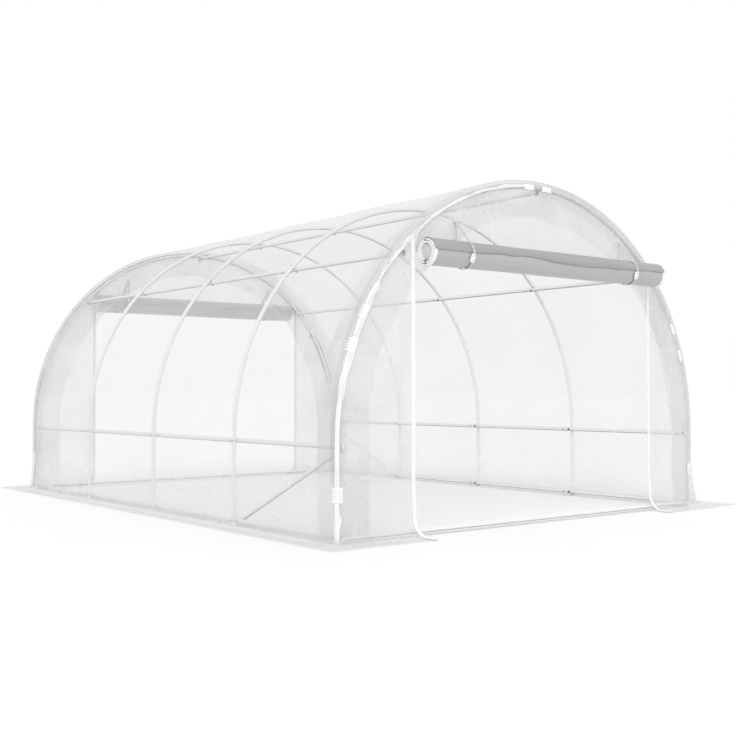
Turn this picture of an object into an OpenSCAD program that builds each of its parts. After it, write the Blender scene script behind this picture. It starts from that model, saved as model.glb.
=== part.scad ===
// Walk-in tunnel greenhouse: five bent-tube hoops, purlins, rails and braces under a film
// cover that is clipped to the end hoops, with a wide doorway rolled up at each end.
// Millimetres, +Z up. The front end faces -Y, and the ground is Z = 0.

/* [Hoops] */
// Distance between neighbouring hoops
bay_l = 1000; // [600:10:1500]
// Radius of a hoop's round top, at the tube's centre line
arch_r = 1465; // [1200:5:1800]
// Height of a hoop's straight legs, where the round top starts
leg_h = 508; // [400:1:900]
// Outside diameter of the frame tubes
tube_d = 25; // [16:0.5:32]
// Height of the plastic plug under each leg
foot_h = 12; // [5:1:13]

/* [Rails and purlins] */
// Distance of the side rails' centre line below the top of the legs
side_rail_drop = 17; // [0:1:150]
// Height of the base rails' centre line
base_rail_z = 27; // [20:1:60]
// Angle of the shoulder purlins above the top of the legs
shoulder_angle = 44; // [25:1:60]
// Outside diameter of the diagonal braces
brace_d = 22; // [14:0.5:30]

/* [Film cover] */
// Thickness of the film, thicker than the real one so that it collides
film_t = 3; // [2:0.25:6]
// Width of the ground skirt beyond the left legs
skirt_left = 180; // [80:5:500]
// Width of the ground skirt beyond the right legs
skirt_right = 340; // [80:5:500]
// Width of the ground skirt in front of the front hoop
skirt_front = 200; // [80:5:500]
// Width of the ground skirt behind the rear hoop
skirt_rear = 330; // [80:5:500]

/* [Doorways] */
// Distance between the centre lines of a doorway's two zip tapes
door_w = 2010; // [1200:5:2200]
// Sideways shift of both doorways towards +X
door_shift = 30; // [-60:5:60]
// Distance of a doorway's top edge below the place where its tape meets the hoop
door_drop = 35; // [10:1:200]
// Width of the zip tapes
tape_w = 19; // [10:1:40]
// Thickness of the zip tapes
tape_t = 4; // [2:0.5:8]

/* [Door rolls] */
// Radius of a rolled-up door
roll_r = 76; // [40:1:100]
// Height of a roll's axis above the doorway's top edge
roll_rise = 12; // [-40:1:60]
// Distance from a roll's end to the tape's centre line
roll_end_gap = 20; // [15:1:100]
// Distance from a roll's end to the middle of the strap near it
strap_inset = 285; // [60:5:450]
// Distance of the straps' sewn ends below the hoop
strap_drop = 52; // [30:1:120]
// Width of the straps
strap_w = 20; // [10:1:50]
// Thickness of the straps
strap_t = 2; // [1:0.25:4]
// Width of the buckles
buckle_w = 32; // [26:1:60]
// Height of the buckles
buckle_h = 50; // [30:1:70]
// Thickness of the buckles
buckle_t = 8; // [4:0.5:12]

/* [Film clips] */
// Length of a clip along the tube
clip_l = 80; // [40:1:120]
// Thickness of a clip's wall
clip_t = 3.5; // [2:0.25:6]
// Length of each flat lip of a clip
clip_lip = 18; // [8:1:30]
// Height of the middle of the clips on the legs
clip_leg_z = 248; // [100:1:340]
// Angle of the lower clips on the round top
clip_low_angle = 20; // [8:1:23]
// Angle of the upper clips on the round top
clip_high_angle = 27.5; // [27:0.5:36]
// Distance along the hoop from the ridge to each of its two clips
clip_ridge_offset = 75; // [60:1:200]

/* [Fits] */
// Clearance between pieces that lie on each other
fit_gap = 0.3; // [0.1:0.05:0.6]

/* [Hidden] */

$fn = 96;
left = -1;
right = 1;
front = -1;
rear = 1;
bays = 4;

tube_r = tube_d / 2;
half_l = bays * bay_l / 2;
// Centre line of everything that is bolted to the inside of the hoops
inner_r = arch_r - tube_d - fit_gap;
brace_x = inner_r - tube_r - fit_gap - brace_d / 2;
// The rails stop level with the outside of the end hoops' tubes
rail_l = 2 * (half_l + tube_r);
end_rail_l = 2 * (inner_r - tube_r - fit_gap);

// The film lies on the outside of the hoops: its inner and outer faces, from the tube's centre
film_in = tube_r + fit_gap;
film_out = film_in + film_t;
wall_out_y = half_l + film_out;

side_rail_z = leg_h - side_rail_drop;
door_top = arch_z(max(abs(door_x(left)), abs(door_x(right))) + tape_w / 2) - door_drop;

roll_y = wall_out_y + 2 * fit_gap + strap_t + roll_r;
roll_z = door_top + roll_rise;
roll_l = door_w - 2 * roll_end_gap;
strap_x = roll_l / 2 - strap_inset;
strap_top = arch_z(abs(door_shift) + strap_x + strap_w / 2) - strap_drop;
// Centre line of a strap's loop round its roll
loop_r = roll_r + fit_gap + strap_t / 2;
clip_in = film_out + fit_gap;

// Moves the middle of the skirts' outline to the origin
middle_x = (skirt_left - skirt_right) / 2;
middle_y = (skirt_front - skirt_rear) / 2;

TUBE = "#e3e5e4";
FILM = "#eef1f0";
TRIM = "#fbfbfa";
ROLL = "#b4b6b6";
STRAP = "#c9cbcb";

function hoop_y(i) = -half_l + (i - 1) * bay_l;
function door_x(side) = door_shift + side * door_w / 2;
// Height of a hoop's centre line at a distance from the tunnel's middle
function arch_z(x) = leg_h + sqrt(arch_r * arch_r - x * x);

// Places its children, drawn about the tunnel's own middle, in the part's frame
module in_place() {
    translate([middle_x, middle_y, 0]) children();
}

// Turns what is drawn for the front end (-Y) to face the given end
module at_end(end) {
    if (end == front) children();
    else mirror([0, 1, 0]) children();
}

// Turns what is drawn on the right (+X) to the given side
module at_side(side) {
    if (side == right) children();
    else mirror([1, 0, 0]) children();
}

// Sweeps a 2D outline (distance from the hoops' axis, place along Y) round part of the arch
module along_arch(from, sweep) {
    translate([0, 0, leg_h])
        rotate([90, 0, 0])
            rotate([0, 0, from])
                rotate_extrude(angle = sweep, $fn = 180)
                    children();
}

// Tube from one point to another, in a plane of constant X
module side_tube(x, from, to, d) {
    run = to[0] - from[0];
    rise = to[1] - from[1];
    translate([x, from[0], from[1]])
        rotate([atan2(-run, rise), 0, 0])
            cylinder(d = d, h = norm([run, rise]));
}

// Tube along the whole length of the tunnel
module long_tube(x, z) {
    translate([x, -rail_l / 2, z])
        rotate([-90, 0, 0])
            cylinder(d = tube_d, h = rail_l);
}

// ---- Frame ----

module hoop(i) {
    color(TUBE) in_place() translate([0, hoop_y(i), 0]) {
        along_arch(0, 180) translate([arch_r, 0]) circle(d = tube_d);
        for (side = [left, right])
            translate([side * arch_r, 0, foot_h])
                cylinder(d = tube_d, h = leg_h - foot_h);
    }
}

module hoop_feet() {
    color(TRIM) in_place()
        for (i = [1 : bays + 1], side = [left, right])
            translate([side * arch_r, hoop_y(i), 0])
                cylinder(d = tube_d, h = foot_h);
}

module ridge_purlin() {
    color(TUBE) in_place() long_tube(0, leg_h + inner_r);
}

module shoulder_purlin(side) {
    color(TUBE) in_place()
        long_tube(side * inner_r * cos(shoulder_angle), leg_h + inner_r * sin(shoulder_angle));
}

module side_rail(side) {
    color(TUBE) in_place() long_tube(side * inner_r, side_rail_z);
}

module base_rail_side(side) {
    color(TUBE) in_place() long_tube(side * inner_r, base_rail_z);
}

module base_rail_end(end) {
    color(TUBE) in_place()
        translate([-end_rail_l / 2, end * half_l, base_rail_z])
            rotate([0, 90, 0])
                cylinder(d = tube_d, h = end_rail_l);
}

// Runs from the end hoop, at the side rail, down to the next hoop, at the base rail
module brace(side, end) {
    color(TUBE) in_place() at_side(side) at_end(end)
        side_tube(brace_x, [-half_l, side_rail_z], [-half_l + bay_l, base_rail_z], brace_d);
}

// ---- Film cover ----

// Cross-section of the film where it turns round an end hoop's tube, about the tube's centre:
// +X is away from the tunnel's inside and -Y is towards the front
module hem_section() {
    intersection() {
        difference() {
            circle(r = film_out);
            circle(r = film_in);
        }
        translate([0, -film_out]) square(film_out);
    }
}

module roof_cover() {
    color(FILM) in_place() {
        along_arch(0, 180) translate([arch_r + film_in, -half_l]) square([film_t, 2 * half_l]);
        for (end = [front, rear])
            at_end(end)
                along_arch(0, 180) translate([arch_r, half_l]) mirror([0, 1]) hem_section();
    }
}

module side_cover(side) {
    color(FILM) in_place() at_side(side) translate([0, 0, film_t]) {
        translate([arch_r + film_in, -half_l, 0]) cube([film_t, 2 * half_l, leg_h - film_t]);
        for (end = [front, rear])
            at_end(end)
                translate([arch_r, -half_l, 0])
                    linear_extrude(leg_h - film_t) hem_section();
    }
}

// Outline of an end wall, in X and Z, up to where the roof's film turns round the hoop
module end_outline() {
    edge_r = arch_r - fit_gap;
    translate([0, leg_h]) circle(r = edge_r, $fn = 180);
    translate([-edge_r, film_t]) square([2 * edge_r, leg_h - film_t]);
}

// The stretch of an end wall between two places along X and above a height
module end_wall(end, from_x, to_x, from_z) {
    color(FILM) in_place() at_end(end)
        translate([0, -half_l - film_in, 0])
            rotate([90, 0, 0])
                linear_extrude(film_t)
                    intersection() {
                        end_outline();
                        translate([from_x, from_z])
                            square([to_x - from_x, leg_h + 2 * arch_r]);
                    }
}

module end_wall_side(side, end) {
    edges = [side * arch_r, door_x(side)];
    end_wall(end, min(edges), max(edges), film_t);
}

module end_wall_top(end) {
    end_wall(end, door_x(left), door_x(right), door_top);
}

module skirt_side(side, width) {
    color(FILM) in_place() at_side(side)
        translate([arch_r + film_in, -half_l - skirt_front, 0])
            cube([width - film_in, 2 * half_l + skirt_front + skirt_rear, film_t]);
}

module skirt_end(side, end, width) {
    edges = [side * (arch_r + film_in), door_x(side)];
    color(FILM) in_place() at_end(end)
        translate([min(edges), -half_l - width, 0])
            cube([max(edges) - min(edges), width - film_in, film_t]);
}

// ---- Doorways ----

// Runs down the edge of the doorway and out over the skirt
module zip_tape(side, end, skirt_w) {
    half_w = tape_w / 2;
    top = arch_z(abs(door_x(side)) + half_w);
    color(TRIM) in_place() at_end(end)
        translate([door_x(side) - half_w, 0, film_t]) {
            translate([0, -wall_out_y - tape_t, 0]) cube([tape_w, tape_t, top - film_t]);
            translate([0, -half_l - skirt_w, 0])
                cube([tape_w, skirt_w - film_out - tape_t, tape_t]);
        }
}

module door_roll(end) {
    color(ROLL) in_place() at_end(end)
        translate([door_shift - roll_l / 2, -roll_y, roll_z])
            rotate([0, 90, 0])
                cylinder(r = roll_r, h = roll_l);
}

// Side view of a strap, in (distance in front of the roll's axis, height above it): down the
// wall behind the roll, under it, up in front and back to the wall at the sewn end
module strap_section() {
    rise = strap_top - roll_z;
    reach = norm([loop_r, rise]);
    // Where the front leg leaves the loop, measured from the wall's side over the top
    leave = atan2(rise, loop_r) + acos(loop_r / reach);
    arc = [for (k = [0 : 40]) 360 - k * (360 - leave) / 40];
    outer = loop_r + strap_t / 2;
    inner = loop_r - strap_t / 2;
    difference() {
        polygon(concat([[outer, rise]], [for (a = arc) outer * [cos(a), sin(a)]]));
        polygon(concat([[inner, rise - 2 * strap_t]], [for (a = arc) inner * [cos(a), sin(a)]]));
    }
}

module roll_straps(end) {
    color(STRAP) in_place() at_end(end)
        for (side = [left, right])
            translate([door_shift + side * strap_x - strap_w / 2, -roll_y, roll_z])
                rotate([90, 0, 90])
                    linear_extrude(strap_w) strap_section();
}

module strap_buckles(end) {
    color(TRIM) in_place() at_end(end)
        for (side = [left, right])
            translate([
                door_shift + side * strap_x - buckle_w / 2,
                -roll_y - loop_r - strap_t / 2 - fit_gap - buckle_t,
                roll_z - buckle_h / 2
            ])
                cube([buckle_w, buckle_t, buckle_h]);
}

// ---- Film clips ----

// Cross-section of a clip, laid out like hem_section()
module clip_section() {
    clip_out = clip_in + clip_t;
    intersection() {
        difference() {
            circle(r = clip_out);
            circle(r = clip_in);
        }
        translate([0, -clip_out]) square(clip_out);
    }
    translate([clip_in, 0]) square([clip_t, clip_lip]);
    translate([-clip_lip, -clip_out]) square([clip_lip, clip_t]);
}

module leg_clip() {
    translate([arch_r, -half_l, clip_leg_z - clip_l / 2])
        linear_extrude(clip_l) clip_section();
}

module arch_clip(angle) {
    sweep = clip_l / arch_r * 180 / PI;
    along_arch(angle - sweep / 2, sweep) translate([arch_r, half_l]) mirror([0, 1]) clip_section();
}

module film_clips(end) {
    ridge_step = clip_ridge_offset / arch_r * 180 / PI;
    color(TRIM) in_place() at_end(end)
        for (side = [left, right])
            at_side(side) {
                leg_clip();
                for (angle = [clip_low_angle, clip_high_angle, 90 - ridge_step])
                    arch_clip(angle);
            }
}

hoop(1);  // hoop_1
hoop(2);  // hoop_2
hoop(3);  // hoop_3
hoop(4);  // hoop_4
hoop(5);  // hoop_5
hoop_feet();
ridge_purlin();
shoulder_purlin(left);  // shoulder_purlin_left
shoulder_purlin(right);  // shoulder_purlin_right
side_rail(left);  // side_rail_left
side_rail(right);  // side_rail_right
base_rail_side(left);  // base_rail_left
base_rail_side(right);  // base_rail_right
base_rail_end(front);  // base_rail_front
base_rail_end(rear);  // base_rail_rear
brace(left, front);  // brace_front_left
brace(right, rear);  // brace_rear_right
roof_cover();
side_cover(left);  // side_cover_left
side_cover(right);  // side_cover_right
end_wall_side(left, front);  // front_wall_left
end_wall_side(right, front);  // front_wall_right
end_wall_top(front);  // front_wall_top
end_wall_side(left, rear);  // rear_wall_left
end_wall_side(right, rear);  // rear_wall_right
end_wall_top(rear);  // rear_wall_top
skirt_side(left, skirt_left);  // skirt_left_side
skirt_side(right, skirt_right);  // skirt_right_side
skirt_end(left, front, skirt_front);  // skirt_front_left
skirt_end(right, front, skirt_front);  // skirt_front_right
skirt_end(left, rear, skirt_rear);  // skirt_rear_left
skirt_end(right, rear, skirt_rear);  // skirt_rear_right
zip_tape(left, front, skirt_front);  // zip_tape_front_left
zip_tape(right, front, skirt_front);  // zip_tape_front_right
zip_tape(left, rear, skirt_rear);  // zip_tape_rear_left
zip_tape(right, rear, skirt_rear);  // zip_tape_rear_right
door_roll(front);  // door_roll_front
door_roll(rear);  // door_roll_rear
roll_straps(front);  // roll_straps_front
roll_straps(rear);  // roll_straps_rear
strap_buckles(front);  // strap_buckles_front
strap_buckles(rear);  // strap_buckles_rear
film_clips(front);  // film_clips_front
film_clips(rear);  // film_clips_rear
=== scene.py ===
"""The looks of a walk-in tunnel greenhouse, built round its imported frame.

Everything is in metres, in the part's own frame: +Z up, the front end faces -Y. Sizes and places
come from the frame's nodes, so the film, tapes, straps, clips and bolts follow the CAD model.
"""

import math

import bpy
import numpy as np
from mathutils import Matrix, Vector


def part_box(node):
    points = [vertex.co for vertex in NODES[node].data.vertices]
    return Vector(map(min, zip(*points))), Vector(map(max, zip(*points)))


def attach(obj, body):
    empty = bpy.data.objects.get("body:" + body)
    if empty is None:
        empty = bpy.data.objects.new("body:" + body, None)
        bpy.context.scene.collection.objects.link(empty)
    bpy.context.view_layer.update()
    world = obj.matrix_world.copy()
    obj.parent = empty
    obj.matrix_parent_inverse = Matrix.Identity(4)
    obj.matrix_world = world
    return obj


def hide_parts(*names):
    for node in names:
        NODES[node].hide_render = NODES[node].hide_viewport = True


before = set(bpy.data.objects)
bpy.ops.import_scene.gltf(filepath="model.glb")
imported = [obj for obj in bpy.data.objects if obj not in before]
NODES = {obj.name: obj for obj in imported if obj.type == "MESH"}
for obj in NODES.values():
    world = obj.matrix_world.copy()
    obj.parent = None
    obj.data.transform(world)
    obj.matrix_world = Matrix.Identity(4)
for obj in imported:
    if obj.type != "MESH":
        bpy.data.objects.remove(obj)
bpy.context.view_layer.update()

# ---------------------------- places read from the frame


def box(node):
    """Lowest and highest corner of a CAD node, as arrays."""
    low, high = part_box(node)
    return np.array(low), np.array(high)


def middle(node):
    low, high = box(node)
    return (low + high) / 2


RIDGE = middle("ridge_purlin")
MID_X = RIDGE[0]
TUBE_R = (box("ridge_purlin")[1] - box("ridge_purlin")[0])[0] / 2
HOOP_Y = [middle(f"hoop_{i}")[1] for i in range(1, 6)]
FRONT_Y, REAR_Y = HOOP_Y[0], HOOP_Y[-1]
HOOP_LOW, HOOP_HIGH = box("hoop_1")
ARCH_R = (HOOP_HIGH[0] - HOOP_LOW[0]) / 2 - TUBE_R
LEG_H = HOOP_HIGH[2] - TUBE_R - ARCH_R
INNER_R = RIDGE[2] - LEG_H
SIDE_Z = middle("side_rail_left")[2]
BASE_Z = middle("base_rail_left")[2]
SHOULDER = middle("shoulder_purlin_right")
DOOR_X = {-1: middle("zip_tape_front_left")[0], 1: middle("zip_tape_front_right")[0]}
DOOR_TOP = box("front_wall_top")[0][2]
FOOT_H = box("hoop_feet")[1][2]
SKIRT_X = {-1: box("skirt_left_side")[0][0], 1: box("skirt_right_side")[1][0]}
SKIRT_Y = {-1: box("skirt_left_side")[0][1], 1: box("skirt_left_side")[1][1]}
END_Y = {-1: FRONT_Y, 1: REAR_Y}
END_NAME = {-1: "front", 1: "rear"}
SIDE_NAME = {-1: "left", 1: "right"}

# ---------------------------- noise and folds


def noise(x, y, seed):
    """Smooth noise between -1 and 1 over a plane, with features about 1 apart."""
    table = np.random.default_rng(seed).uniform(-1, 1, (97, 97))
    x, y = np.broadcast_arrays(np.asarray(x, float), np.asarray(y, float))
    i, j = np.floor(x).astype(int), np.floor(y).astype(int)
    fx, fy = x - i, y - j
    fx, fy = fx * fx * (3 - 2 * fx), fy * fy * (3 - 2 * fy)
    low = table[i % 97, j % 97] * (1 - fx) + table[(i + 1) % 97, j % 97] * fx
    high = table[i % 97, (j + 1) % 97] * (1 - fx) + table[(i + 1) % 97, (j + 1) % 97] * fx
    return low * (1 - fy) + high * fy


def folds(x, y, count, seed, length=0.16, width=0.02, turn=None, spread=1.0):
    """Sharp folds scattered over the box that x and y fill: (height between -1 and 1, how much
    each point lies on a fold's line). turn is the folds' main direction in radians."""
    rng = np.random.default_rng(seed)
    height, line = np.zeros_like(x), np.zeros_like(x)
    x0, x1, y0, y1 = x.min(), x.max(), y.min(), y.max()
    for _ in range(count):
        cx, cy = rng.uniform(x0, x1), rng.uniform(y0, y1)
        angle = rng.uniform(0, math.pi) if turn is None else rng.normal(turn, spread)
        half = length * rng.uniform(0.4, 1.6)
        wide = width * rng.uniform(0.6, 1.5)
        sign = rng.choice([-1, 1]) * rng.uniform(0.4, 1)
        bend = rng.normal(0, 0.9)
        along = (x - cx) * math.cos(angle) + (y - cy) * math.sin(angle)
        across = -(x - cx) * math.sin(angle) + (y - cy) * math.cos(angle)
        across = across + bend * along * along
        near = np.exp(-((along / half) ** 2))
        height += sign * near * np.exp(-np.abs(across) / wide)
        line = np.maximum(line, abs(sign) * near * np.exp(-((across / (0.24 * wide)) ** 2)))
    return np.tanh(height), line


def smooth(x, low, high):
    """0 at low, 1 at high, smoothly between."""
    t = np.clip((np.asarray(x, float) - low) / (high - low), 0, 1)
    return t * t * (3 - 2 * t)


def stripe(x, middle, half):
    """1 at the middle, fading out on both sides."""
    return np.exp(-(((x - middle) / half) ** 2))


# ---------------------------- materials


class Nodes:
    """A small builder of procedural materials."""

    def __init__(self, name):
        self.material = bpy.data.materials.new(name)
        self.material.use_nodes = True
        self.tree = self.material.node_tree
        self.tree.nodes.clear()
        self.coords = self.add("ShaderNodeTexCoord").outputs["Object"]

    def add(self, kind, settings=None, **inputs):
        node = self.tree.nodes.new(kind)
        for key, value in (settings or {}).items():
            setattr(node, key, value)
        for key, value in inputs.items():
            self.set(node, key.replace("_", " "), value)
        return node

    def set(self, node, key, value):
        socket = node.inputs[int(key)] if str(key).isdigit() else node.inputs[key]
        if isinstance(value, bpy.types.NodeSocket):
            self.tree.links.new(value, socket)
        else:
            socket.default_value = value

    def noise(self, scale, detail=3.0, roughness=0.55, stretch=None):
        vector = self.coords
        if stretch:
            vector = self.add("ShaderNodeMapping", Vector=vector, Scale=stretch).outputs[0]
        settings = {"Vector": vector, "Scale": scale, "Detail": detail, "Roughness": roughness}
        return self.add("ShaderNodeTexNoise", **settings).outputs["Fac"]

    def math(self, operation, a, b=None, clamp=False):
        node = self.add("ShaderNodeMath", {"operation": operation, "use_clamp": clamp})
        self.set(node, 0, a)
        if b is not None:
            self.set(node, 1, b)
        return node.outputs[0]

    def remap(self, value, low, high, to_low=0.0, to_high=1.0):
        node = self.add("ShaderNodeMapRange", {"interpolation_type": "SMOOTHSTEP"})
        keys = ("Value", "From Min", "From Max", "To Min", "To Max")
        for key, item in zip(keys, (value, low, high, to_low, to_high)):
            self.set(node, key, item)
        return node.outputs[0]

    def mix(self, factor, a, b):
        node = self.add("ShaderNodeMix", {"data_type": "RGBA"})
        self.set(node, 0, factor)
        self.set(node, 6, a)
        self.set(node, 7, b)
        return node.outputs[2]

    def bump(self, height, distance, strength=1.0):
        node = self.add("ShaderNodeBump", Height=height, Distance=distance, Strength=strength)
        return node.outputs[0]

    def shader(self, color, roughness, normal=None, **more):
        node = self.add("ShaderNodeBsdfPrincipled", Roughness=roughness)
        self.set(node, "Base Color", color)
        if normal is not None:
            self.set(node, "Normal", normal)
        for key, value in more.items():
            self.set(node, key.replace("_", " "), value)
        return node.outputs[0]

    def mix_shader(self, factor, a, b):
        node = self.add("ShaderNodeMixShader")
        self.set(node, 0, factor)
        self.set(node, 1, a)
        self.set(node, 2, b)
        return node.outputs[0]

    def finish(self, shader):
        out = self.add("ShaderNodeOutputMaterial")
        self.tree.links.new(shader, out.inputs["Surface"])
        return self.material


def grey(value, warm=0.0):
    return (value * (1 + warm), value, value * (1 - warm), 1)


def attribute(m, name):
    return m.add("ShaderNodeAttribute", {"attribute_name": name}).outputs["Fac"]


def film_material(name, shade, cover, crumple, laid_cover=0.0, lets_through=0.42):
    """Clear film that hazes what is behind it: shade is its own grey, cover how much it hides,
    crumple how strongly its small creases and facets show, in bumps, painted highlights and painted
    shade, laid_cover how much more it hides on the ground, and lets_through how much of its light comes
    from behind."""
    m = Nodes(name)
    # Coordinates bent by soft noise, so that creases aren't straight
    warp = m.add("ShaderNodeTexNoise", Vector=m.coords, Scale=2.2, Detail=2.0)
    pushed = m.add("ShaderNodeVectorMath", {"operation": "MULTIPLY_ADD"})
    m.set(pushed, 0, warp.outputs["Color"])
    m.set(pushed, 1, (0.5, 0.5, 0.5))
    m.set(pushed, 2, m.coords)
    pushed = pushed.outputs[0]
    # Fine crease lines, in patches
    lines = []
    for scale, width in ((3.1, 0.012), (7.3, 0.02)):
        edges = {"feature": "DISTANCE_TO_EDGE"}
        cells = m.add("ShaderNodeTexVoronoi", edges, Vector=pushed, Scale=scale)
        lines.append(m.remap(cells.outputs["Distance"], 0.0, width * scale, 1.0, 0.0))
    fine = m.math("MAXIMUM", lines[0], lines[1])
    patchy = m.remap(m.noise(2.7, 2.0), 0.5, 0.68)
    fine = m.math("MULTIPLY", fine, patchy)
    creased = m.math("MULTIPLY", attribute(m, "crumple"), crumple * 0.55, clamp=True)
    fine = m.math("MULTIPLY", fine, creased)
    line = m.math("MAXIMUM", fine, attribute(m, "fold"), clamp=True)
    clouds = m.remap(m.noise(1.6, 2.0), 0.3, 0.7, -0.03, 0.03)
    height_above = m.add("ShaderNodeSeparateXYZ", Vector=m.coords).outputs["Z"]
    laid = m.remap(height_above, 0.012, 0.03, laid_cover, 0.0)
    # Broad facets between the creases
    rounded = {"feature": "SMOOTH_F1"}
    facets = m.add("ShaderNodeTexVoronoi", rounded, Vector=pushed, Scale=3.4, Smoothness=0.18)
    facet = m.math("SUBTRACT", facets.outputs["Distance"], 0.35)
    facet = m.math("MULTIPLY", facet, attribute(m, "crumple"))
    facet = m.math("MULTIPLY", facet, crumple)
    # Painted shade: more cover, so greyer film, on the darker facets and on the top of the roof
    normal = m.add("ShaderNodeNewGeometry").outputs["Normal"]
    up = m.add("ShaderNodeSeparateXYZ", Vector=normal).outputs["Z"]
    painted_shade_cover = m.math("MULTIPLY", facet, 0.16)
    painted_shade_cover = m.math("ADD", painted_shade_cover, m.remap(m.math("ABSOLUTE", up), 0.8, 0.98, 0.0, 0.10))
    seam_and_shade = attribute(m, "seam_and_shade")
    # Creases hide more as part of their painted highlight; welds, lines and painted shade hide more too
    hide = m.math("ADD", m.math("ADD", clouds, cover), m.math("MULTIPLY", line, 0.5))
    hide = m.math("ADD", hide, m.math("MULTIPLY", seam_and_shade, 0.45))
    hide = m.math("ADD", hide, m.math("ADD", laid, painted_shade_cover), clamp=True)
    # Painted highlights on the creases; darker welds and lines, and painted shade in the hem's fold
    # hollows and on the facets
    color = m.mix(line, grey(shade), grey(0.98))
    color = m.mix(m.math("MULTIPLY", seam_and_shade, 0.75, clamp=True), color, grey(shade * 0.5))
    color = m.mix(m.math("MULTIPLY", facet, 0.9, clamp=True), color, grey(shade * 0.78))
    height = m.math("ADD", m.math("MULTIPLY", facet, 0.5), m.math("MULTIPLY", fine, 0.12 * crumple))
    height = m.math("ADD", height, m.math("MULTIPLY", m.noise(2.3, 1.0, 0.5), 0.2))
    normal = m.bump(height, 0.02, 0.6)
    rough = m.remap(m.noise(5.0), 0.3, 0.7, 0.12, 0.24)
    body = m.shader(color, rough, normal, Specular_IOR_Level=0.5)
    through = m.add("ShaderNodeBsdfTranslucent", Color=color, Normal=normal).outputs[0]
    clear = m.add("ShaderNodeBsdfTransparent").outputs[0]
    return m.finish(m.mix_shader(hide, clear, m.mix_shader(lets_through, body, through)))


TUBE_PAINTED_LIGHT_FROM = (-0.42, -0.3, 0.86)


def tube_material():
    """Pale coated steel with painted shade on the side turned away from a fixed light, faint draw marks
    and scuffs.
    """
    m = Nodes("coated_steel")
    normal = m.add("ShaderNodeNewGeometry").outputs["Normal"]
    facing = m.add("ShaderNodeVectorMath", {"operation": "DOT_PRODUCT"})
    m.set(facing, 0, normal)
    m.set(facing, 1, TUBE_PAINTED_LIGHT_FROM)
    # Painted shade: dark grey on the side turned away from the fixed light direction, pale on the lit
    # side
    lit = m.remap(facing.outputs["Value"], -0.78, 0.18)
    speckle = m.remap(m.noise(60.0, 4.0, 0.65), 0.35, 0.65, 0.86, 1.0)
    base = m.mix(lit, grey(0.12), grey(0.9))
    color = m.mix(speckle, grey(0.6), base)
    scuff = m.remap(m.noise(14.0, 5.0, 0.7, stretch=(1, 1, 3)), 0.62, 0.72)
    color = m.mix(m.math("MULTIPLY", scuff, 0.25), color, grey(0.55))
    rough = m.remap(m.noise(25.0, 3.0), 0.3, 0.7, 0.28, 0.46)
    marks = m.bump(m.noise(90.0, 3.0), 0.0004, 0.6)
    return m.finish(m.shader(color, rough, marks, Metallic=0.15))


def plastic_material(name, value, rough=0.38, grain=220.0):
    """Moulded plastic or plated metal with a fine grain and a slightly uneven gloss."""
    m = Nodes(name)
    color = m.mix(m.remap(m.noise(18.0, 4.0), 0.3, 0.7), grey(value), grey(value * 0.93))
    normal = m.bump(m.noise(grain, 2.0), 0.0003, 0.6)
    gloss = m.remap(m.noise(30.0), 0.3, 0.7, rough - 0.06, rough + 0.08)
    return m.finish(m.shader(color, gloss, normal))


def webbing_material(name, value):
    """Woven tape: fine ribs along its length crossed by the weft."""
    m = Nodes(name)
    threads = []
    for direction, scale, uneven in (("X", 160.0, 0.4), ("Z", 120.0, 0.6)):
        bands = {"wave_type": "BANDS", "bands_direction": direction}
        wave = m.add("ShaderNodeTexWave", bands, Vector=m.coords, Scale=scale, Distortion=uneven)
        threads.append(wave.outputs["Fac"])
    weave = m.math("MULTIPLY", *threads)
    color = m.mix(weave, grey(value * 0.9), grey(value))
    soiled = m.remap(m.noise(22.0, 4.0), 0.35, 0.65, 0.0, 0.25)
    color = m.mix(soiled, color, grey(value * 0.88))
    return m.finish(m.shader(color, 0.72, m.bump(weave, 0.0006, 0.8), Sheen_Weight=0.15))


def roll_material(name, shade, streak):
    """Film in many layers: grey, softly banded along its length, with pinched creases that carry
    painted shade.
    """
    m = Nodes(name)
    bands = m.noise(6.0, 4.0, 0.6, stretch=(0.35, 4.0, 4.0))
    pinch = m.remap(m.noise(9.0, 5.0, 0.7, stretch=(1.6, 1.0, 1.0)), 0.6, 0.7)
    pale = m.remap(bands, 0.3, 0.7)
    color = m.mix(pale, grey(shade * (1 - streak)), grey(shade * (1 + streak)))
    # Painted shade in the pinched creases
    color = m.mix(m.math("MULTIPLY", pinch, 0.3), color, grey(shade * 0.7))
    normal = m.bump(m.math("ADD", bands, m.math("MULTIPLY", pinch, 0.4)), 0.004, 0.6)
    return m.finish(m.shader(color, 0.34, normal, Specular_IOR_Level=0.5))


FILM = film_material("clear_film", shade=0.79, cover=0.37, crumple=0.25)
FILM_END = film_material("clear_film_creased", shade=0.82, cover=0.38, crumple=1.0)
FILM_BAND = film_material("clear_film_second_layer", shade=0.75, cover=0.32, crumple=0.9)
FILM_HEM = film_material("clear_film_gathered", shade=0.9, cover=0.95, crumple=0.3, lets_through=0.1)
FILM_SKIRT = film_material("clear_film_skirt", shade=0.82, cover=0.36, crumple=0.5, laid_cover=0.02)
TUBE = tube_material()
PLASTIC = plastic_material("white_plastic", 0.9)
CLIP = plastic_material("clip_plastic", 0.9, rough=0.34)
PLUG = plastic_material("grey_plug", 0.2, rough=0.5)
STEEL = plastic_material("zinc_bolt", 0.16, rough=0.4, grain=400.0)
TAPE = webbing_material("zip_tape", 0.99)
STRAP = webbing_material("strap_webbing", 0.88)
# Painted shade: a darker copy of the webbing, used where a strap goes round the roll
STRAP_SHADED = webbing_material("strap_webbing_shaded", 0.6)  # where a strap goes round the roll
ROLL = roll_material("rolled_film", shade=0.445, streak=0.03)
ROLL_FLAP = roll_material("rolled_film_flap", shade=0.345, streak=0.04)
ROLL_CORE = roll_material("rolled_film_core", shade=0.62, streak=0.05)

# ---------------------------- mesh building


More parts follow.
